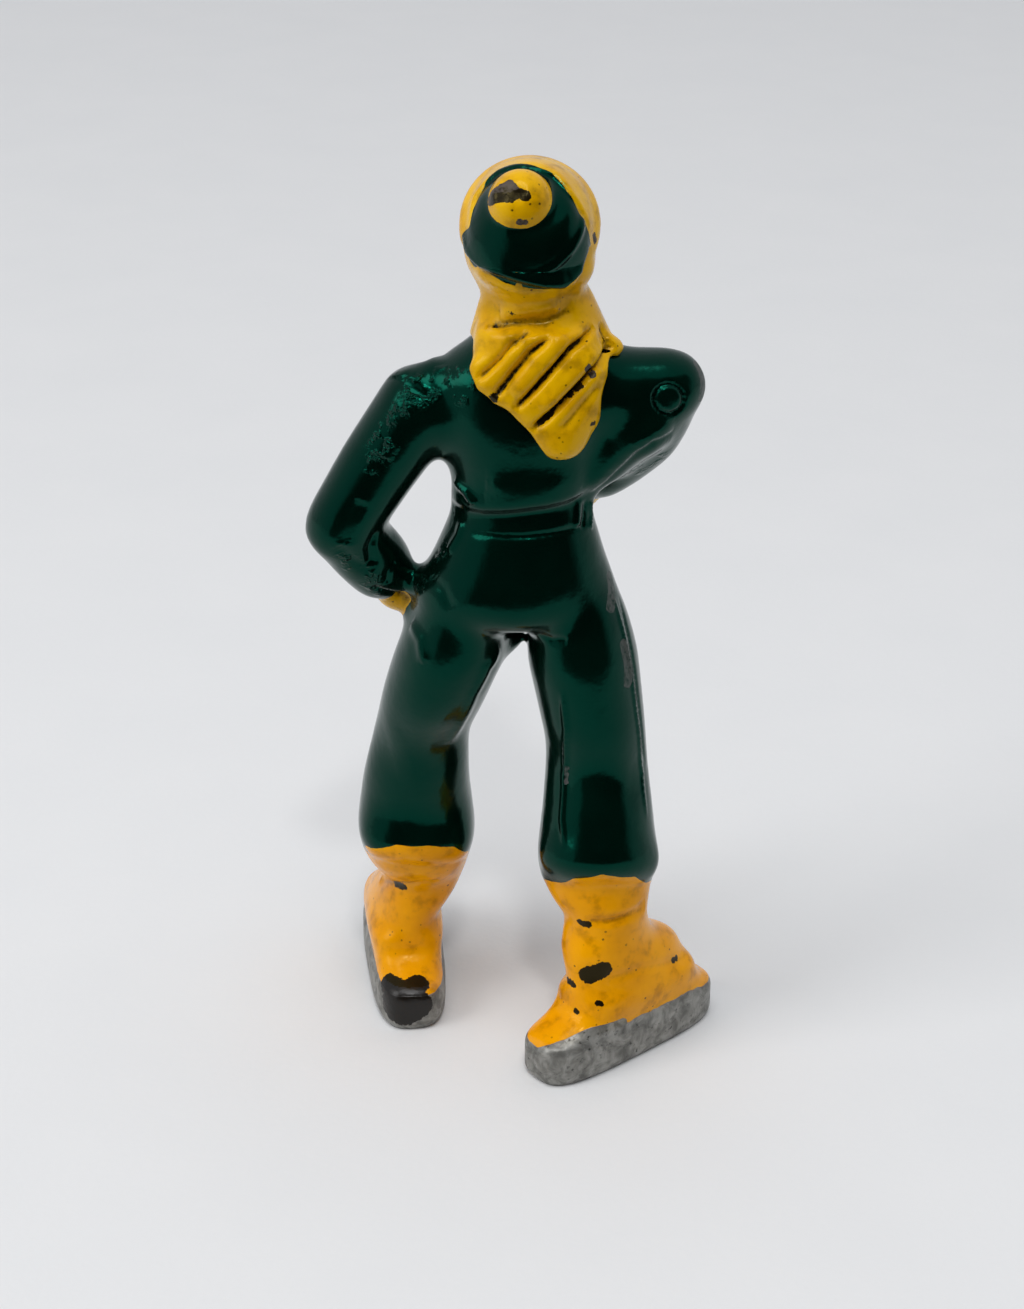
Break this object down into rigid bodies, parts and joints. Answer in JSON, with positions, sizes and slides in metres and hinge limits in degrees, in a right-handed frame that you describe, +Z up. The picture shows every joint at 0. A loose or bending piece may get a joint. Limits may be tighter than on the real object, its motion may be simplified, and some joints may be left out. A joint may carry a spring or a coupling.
{
  "type": "ice skater figure",
  "caption": "Small cast metal ice skater toy figure in a jacket, scarf and bobble cap, one hand on the hip, standing on skates with broad flat runners.",
  "frame": {"origin": "middle of the figure's own box in plan, on the floor that the runners stand on", "axes": "+Z up through the figure, -Y the way it faces, +X to its own left"},
  "size_m": [0.0302, 0.0244, 0.0694],
  "materials": {
    "green_enamel": "glossy enamel, worn",
    "yellow_enamel": "satin gloss enamel, specked",
    "silver_paint": "brushed-on metallic paint",
    "flesh_enamel": "satin enamel"
  },
  "bodies": {
    "root": {"cap_crown": "green_enamel", "jacket_body": "green_enamel", "jacket_band": "green_enamel", "left_upper_sleeve": "green_enamel", "left_lower_sleeve": "green_enamel", "right_upper_sleeve": "green_enamel", "right_lower_sleeve": "green_enamel", "trouser_seat": "green_enamel", "left_trouser_leg": "green_enamel", "right_trouser_leg": "green_enamel", "hair": "yellow_enamel", "cap_cuff": "yellow_enamel", "cap_pompom": "yellow_enamel", "scarf_collar": "yellow_enamel", "scarf_tail": "yellow_enamel", "scarf_end": "yellow_enamel", "left_mitten": "yellow_enamel", "right_mitten": "yellow_enamel", "left_sock": "yellow_enamel", "right_sock": "yellow_enamel", "left_boot": "yellow_enamel", "right_boot": "yellow_enamel", "left_sole": "yellow_enamel", "right_sole": "yellow_enamel", "left_runner": "silver_paint", "right_runner": "silver_paint", "head": "flesh_enamel"}
  },
  "joints": []
}
